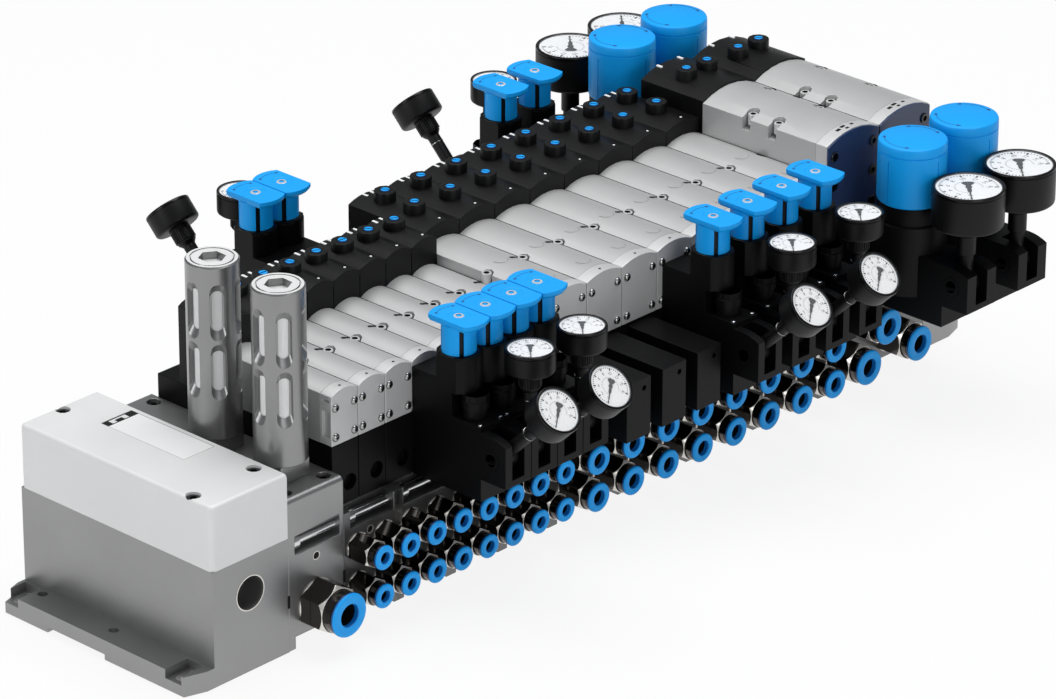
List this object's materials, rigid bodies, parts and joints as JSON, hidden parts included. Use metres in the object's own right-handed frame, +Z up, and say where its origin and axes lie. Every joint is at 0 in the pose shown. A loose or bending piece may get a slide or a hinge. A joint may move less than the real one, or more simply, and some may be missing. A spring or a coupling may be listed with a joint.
{
  "type": "pneumatic valve island",
  "caption": "Row of air valves on aluminium sub-bases with push-in tube fittings, regulators with gauges, silencers and an end block.",
  "frame": {"origin": "on the underside, at the middle of the row of sub-bases, with all the valves between X -0.227 and X +0.227", "axes": "+X along the row from the end block and supply plate to the large valves, -Y towards the tube ports, +Z up"},
  "size_m": [0.598, 0.3579, 0.188],
  "materials": {
    "cast_aluminium": "fine matte",
    "light_aluminium": "fine matte",
    "valve_aluminium": "satin",
    "black_metal": "matte black",
    "black_plastic": "matte black",
    "blue_plastic": "satin blue",
    "nickel": "polished nickel plate",
    "screw_steel": "bright",
    "dial_white": "printed white",
    "filter_white": "porous white"
  },
  "bodies": {
    "island": {"end_plates": "cast_aluminium", "end_block_cover": "light_aluminium", "supply_plate": "cast_aluminium", "silencer_shells": "light_aluminium", "silencer_filters": "filter_white", "manifold_blocks": "cast_aluminium", "stacking_plates": "black_metal", "valve_end_caps": "light_aluminium", "valve_bodies": "valve_aluminium", "pilot_housings": "black_plastic", "fitting_bodies": "nickel", "release_collars": "blue_plastic", "screws": "screw_steel", "regulator_housings": "black_metal", "gauge_cases": "black_plastic", "gauge_dials": "dial_white"},
    "handle_back_medium_6": {"handle_back_medium_6": "blue_plastic"},
    "handle_back_medium_7": {"handle_back_medium_7": "blue_plastic"},
    "handle_back_small_6": {"handle_back_small_6": "blue_plastic"},
    "handle_back_small_7": {"handle_back_small_7": "blue_plastic"},
    "handle_front_medium_4": {"handle_front_medium_4": "blue_plastic"},
    "handle_front_medium_5": {"handle_front_medium_5": "blue_plastic"},
    "handle_front_medium_6": {"handle_front_medium_6": "blue_plastic"},
    "handle_front_medium_7": {"handle_front_medium_7": "blue_plastic"},
    "handle_front_small_4": {"handle_front_small_4": "blue_plastic"},
    "handle_front_small_5": {"handle_front_small_5": "blue_plastic"},
    "handle_front_small_6": {"handle_front_small_6": "blue_plastic"},
    "handle_front_small_7": {"handle_front_small_7": "blue_plastic"},
    "knob_back_large_1": {"knob_back_large_1": "blue_plastic"},
    "knob_back_large_2": {"knob_back_large_2": "blue_plastic"},
    "knob_front_large_1": {"knob_front_large_1": "blue_plastic"},
    "knob_front_large_2": {"knob_front_large_2": "blue_plastic"},
    "override_large_1_1": {"override_large_1_1": "blue_plastic"},
    "override_large_1_2": {"override_large_1_2": "blue_plastic"},
    "override_large_2_1": {"override_large_2_1": "blue_plastic"},
    "override_large_2_2": {"override_large_2_2": "blue_plastic"},
    "override_medium_1_1": {"override_medium_1_1": "blue_plastic"},
    "override_medium_1_2": {"override_medium_1_2": "blue_plastic"},
    "override_medium_2_1": {"override_medium_2_1": "blue_plastic"},
    "override_medium_2_2": {"override_medium_2_2": "blue_plastic"},
    "override_medium_3_1": {"override_medium_3_1": "blue_plastic"},
    "override_medium_3_2": {"override_medium_3_2": "blue_plastic"},
    "override_medium_4_1": {"override_medium_4_1": "blue_plastic"},
    "override_medium_4_2": {"override_medium_4_2": "blue_plastic"},
    "override_medium_5_1": {"override_medium_5_1": "blue_plastic"},
    "override_medium_5_2": {"override_medium_5_2": "blue_plastic"},
    "override_medium_6_1": {"override_medium_6_1": "blue_plastic"},
    "override_medium_6_2": {"override_medium_6_2": "blue_plastic"},
    "override_medium_7_1": {"override_medium_7_1": "blue_plastic"},
    "override_medium_7_2": {"override_medium_7_2": "blue_plastic"},
    "override_medium_8_1": {"override_medium_8_1": "blue_plastic"},
    "override_medium_8_2": {"override_medium_8_2": "blue_plastic"},
    "override_small_1_1": {"override_small_1_1": "blue_plastic"},
    "override_small_2_1": {"override_small_2_1": "blue_plastic"},
    "override_small_3_1": {"override_small_3_1": "blue_plastic"},
    "override_small_4_1": {"override_small_4_1": "blue_plastic"},
    "override_small_5_1": {"override_small_5_1": "blue_plastic"},
    "override_small_6_1": {"override_small_6_1": "blue_plastic"},
    "override_small_7_1": {"override_small_7_1": "blue_plastic"},
    "override_small_8_1": {"override_small_8_1": "blue_plastic"}
  },
  "joints": [
    {"name": "handle_back_medium_6_pull", "type": "slide", "parent": "island", "child": "handle_back_medium_6", "axis": [0, 0, 1], "range_m": [0, 0.004]},
    {"name": "handle_back_medium_7_pull", "type": "slide", "parent": "island", "child": "handle_back_medium_7", "axis": [0, 0, 1], "range_m": [0, 0.004]},
    {"name": "handle_back_small_6_pull", "type": "slide", "parent": "island", "child": "handle_back_small_6", "axis": [0, 0, 1], "range_m": [0, 0.004]},
    {"name": "handle_back_small_7_pull", "type": "slide", "parent": "island", "child": "handle_back_small_7", "axis": [0, 0, 1], "range_m": [0, 0.004]},
    {"name": "handle_front_medium_4_pull", "type": "slide", "parent": "island", "child": "handle_front_medium_4", "axis": [0, 0, 1], "range_m": [0, 0.004]},
    {"name": "handle_front_medium_5_pull", "type": "slide", "parent": "island", "child": "handle_front_medium_5", "axis": [0, 0, 1], "range_m": [0, 0.004]},
    {"name": "handle_front_medium_6_pull", "type": "slide", "parent": "island", "child": "handle_front_medium_6", "axis": [0, 0, 1], "range_m": [0, 0.004]},
    {"name": "handle_front_medium_7_pull", "type": "slide", "parent": "island", "child": "handle_front_medium_7", "axis": [0, 0, 1], "range_m": [0, 0.004]},
    {"name": "handle_front_small_4_pull", "type": "slide", "parent": "island", "child": "handle_front_small_4", "axis": [0, 0, 1], "range_m": [0, 0.004]},
    {"name": "handle_front_small_5_pull", "type": "slide", "parent": "island", "child": "handle_front_small_5", "axis": [0, 0, 1], "range_m": [0, 0.004]},
    {"name": "handle_front_small_6_pull", "type": "slide", "parent": "island", "child": "handle_front_small_6", "axis": [0, 0, 1], "range_m": [0, 0.004]},
    {"name": "handle_front_small_7_pull", "type": "slide", "parent": "island", "child": "handle_front_small_7", "axis": [0, 0, 1], "range_m": [0, 0.004]},
    {"name": "knob_back_large_1_turn", "type": "hinge", "parent": "island", "child": "knob_back_large_1", "pos_m": [0.1625, 0.09975, 0.1247], "axis": [0, 0, 1], "range_deg": [-360, 360]},
    {"name": "knob_back_large_2_turn", "type": "hinge", "parent": "island", "child": "knob_back_large_2", "pos_m": [0.2055, 0.09975, 0.1247], "axis": [0, 0, 1], "range_deg": [-360, 360]},
    {"name": "knob_front_large_1_turn", "type": "hinge", "parent": "island", "child": "knob_front_large_1", "pos_m": [0.1625, -0.10995, 0.1247], "axis": [0, 0, 1], "range_deg": [-360, 360]},
    {"name": "knob_front_large_2_turn", "type": "hinge", "parent": "island", "child": "knob_front_large_2", "pos_m": [0.2055, -0.10995, 0.1247], "axis": [0, 0, 1], "range_deg": [-360, 360]},
    {"name": "override_large_1_1_press", "type": "slide", "parent": "island", "child": "override_large_1_1", "axis": [0, 0, -1], "range_m": [0, 0.0015], "stiffness_N_per_m": 500},
    {"name": "override_large_1_2_press", "type": "slide", "parent": "island", "child": "override_large_1_2", "axis": [0, 0, -1], "range_m": [0, 0.0015], "stiffness_N_per_m": 500},
    {"name": "override_large_2_1_press", "type": "slide", "parent": "island", "child": "override_large_2_1", "axis": [0, 0, -1], "range_m": [0, 0.0015], "stiffness_N_per_m": 500},
    {"name": "override_large_2_2_press", "type": "slide", "parent": "island", "child": "override_large_2_2", "axis": [0, 0, -1], "range_m": [0, 0.0015], "stiffness_N_per_m": 500},
    {"name": "override_medium_1_1_press", "type": "slide", "parent": "island", "child": "override_medium_1_1", "axis": [0, 0, -1], "range_m": [0, 0.0015], "stiffness_N_per_m": 500},
    {"name": "override_medium_1_2_press", "type": "slide", "parent": "island", "child": "override_medium_1_2", "axis": [0, 0, -1], "range_m": [0, 0.0015], "stiffness_N_per_m": 500},
    {"name": "override_medium_2_1_press", "type": "slide", "parent": "island", "child": "override_medium_2_1", "axis": [0, 0, -1], "range_m": [0, 0.0015], "stiffness_N_per_m": 500},
    {"name": "override_medium_2_2_press", "type": "slide", "parent": "island", "child": "override_medium_2_2", "axis": [0, 0, -1], "range_m": [0, 0.0015], "stiffness_N_per_m": 500},
    {"name": "override_medium_3_1_press", "type": "slide", "parent": "island", "child": "override_medium_3_1", "axis": [0, 0, -1], "range_m": [0, 0.0015], "stiffness_N_per_m": 500},
    {"name": "override_medium_3_2_press", "type": "slide", "parent": "island", "child": "override_medium_3_2", "axis": [0, 0, -1], "range_m": [0, 0.0015], "stiffness_N_per_m": 500},
    {"name": "override_medium_4_1_press", "type": "slide", "parent": "island", "child": "override_medium_4_1", "axis": [0, 0, -1], "range_m": [0, 0.0015], "stiffness_N_per_m": 500},
    {"name": "override_medium_4_2_press", "type": "slide", "parent": "island", "child": "override_medium_4_2", "axis": [0, 0, -1], "range_m": [0, 0.0015], "stiffness_N_per_m": 500},
    {"name": "override_medium_5_1_press", "type": "slide", "parent": "island", "child": "override_medium_5_1", "axis": [0, 0, -1], "range_m": [0, 0.0015], "stiffness_N_per_m": 500},
    {"name": "override_medium_5_2_press", "type": "slide", "parent": "island", "child": "override_medium_5_2", "axis": [0, 0, -1], "range_m": [0, 0.0015], "stiffness_N_per_m": 500},
    {"name": "override_medium_6_1_press", "type": "slide", "parent": "island", "child": "override_medium_6_1", "axis": [0, 0, -1], "range_m": [0, 0.0015], "stiffness_N_per_m": 500},
    {"name": "override_medium_6_2_press", "type": "slide", "parent": "island", "child": "override_medium_6_2", "axis": [0, 0, -1], "range_m": [0, 0.0015], "stiffness_N_per_m": 500},
    {"name": "override_medium_7_1_press", "type": "slide", "parent": "island", "child": "override_medium_7_1", "axis": [0, 0, -1], "range_m": [0, 0.0015], "stiffness_N_per_m": 500},
    {"name": "override_medium_7_2_press", "type": "slide", "parent": "island", "child": "override_medium_7_2", "axis": [0, 0, -1], "range_m": [0, 0.0015], "stiffness_N_per_m": 500},
    {"name": "override_medium_8_1_press", "type": "slide", "parent": "island", "child": "override_medium_8_1", "axis": [0, 0, -1], "range_m": [0, 0.0015], "stiffness_N_per_m": 500},
    {"name": "override_medium_8_2_press", "type": "slide", "parent": "island", "child": "override_medium_8_2", "axis": [0, 0, -1], "range_m": [0, 0.0015], "stiffness_N_per_m": 500},
    {"name": "override_small_1_1_press", "type": "slide", "parent": "island", "child": "override_small_1_1", "axis": [0, 0, -1], "range_m": [0, 0.0015], "stiffness_N_per_m": 500},
    {"name": "override_small_2_1_press", "type": "slide", "parent": "island", "child": "override_small_2_1", "axis": [0, 0, -1], "range_m": [0, 0.0015], "stiffness_N_per_m": 500},
    {"name": "override_small_3_1_press", "type": "slide", "parent": "island", "child": "override_small_3_1", "axis": [0, 0, -1], "range_m": [0, 0.0015], "stiffness_N_per_m": 500},
    {"name": "override_small_4_1_press", "type": "slide", "parent": "island", "child": "override_small_4_1", "axis": [0, 0, -1], "range_m": [0, 0.0015], "stiffness_N_per_m": 500},
    {"name": "override_small_5_1_press", "type": "slide", "parent": "island", "child": "override_small_5_1", "axis": [0, 0, -1], "range_m": [0, 0.0015], "stiffness_N_per_m": 500},
    {"name": "override_small_6_1_press", "type": "slide", "parent": "island", "child": "override_small_6_1", "axis": [0, 0, -1], "range_m": [0, 0.0015], "stiffness_N_per_m": 500},
    {"name": "override_small_7_1_press", "type": "slide", "parent": "island", "child": "override_small_7_1", "axis": [0, 0, -1], "range_m": [0, 0.0015], "stiffness_N_per_m": 500},
    {"name": "override_small_8_1_press", "type": "slide", "parent": "island", "child": "override_small_8_1", "axis": [0, 0, -1], "range_m": [0, 0.0015], "stiffness_N_per_m": 500}
  ]
}
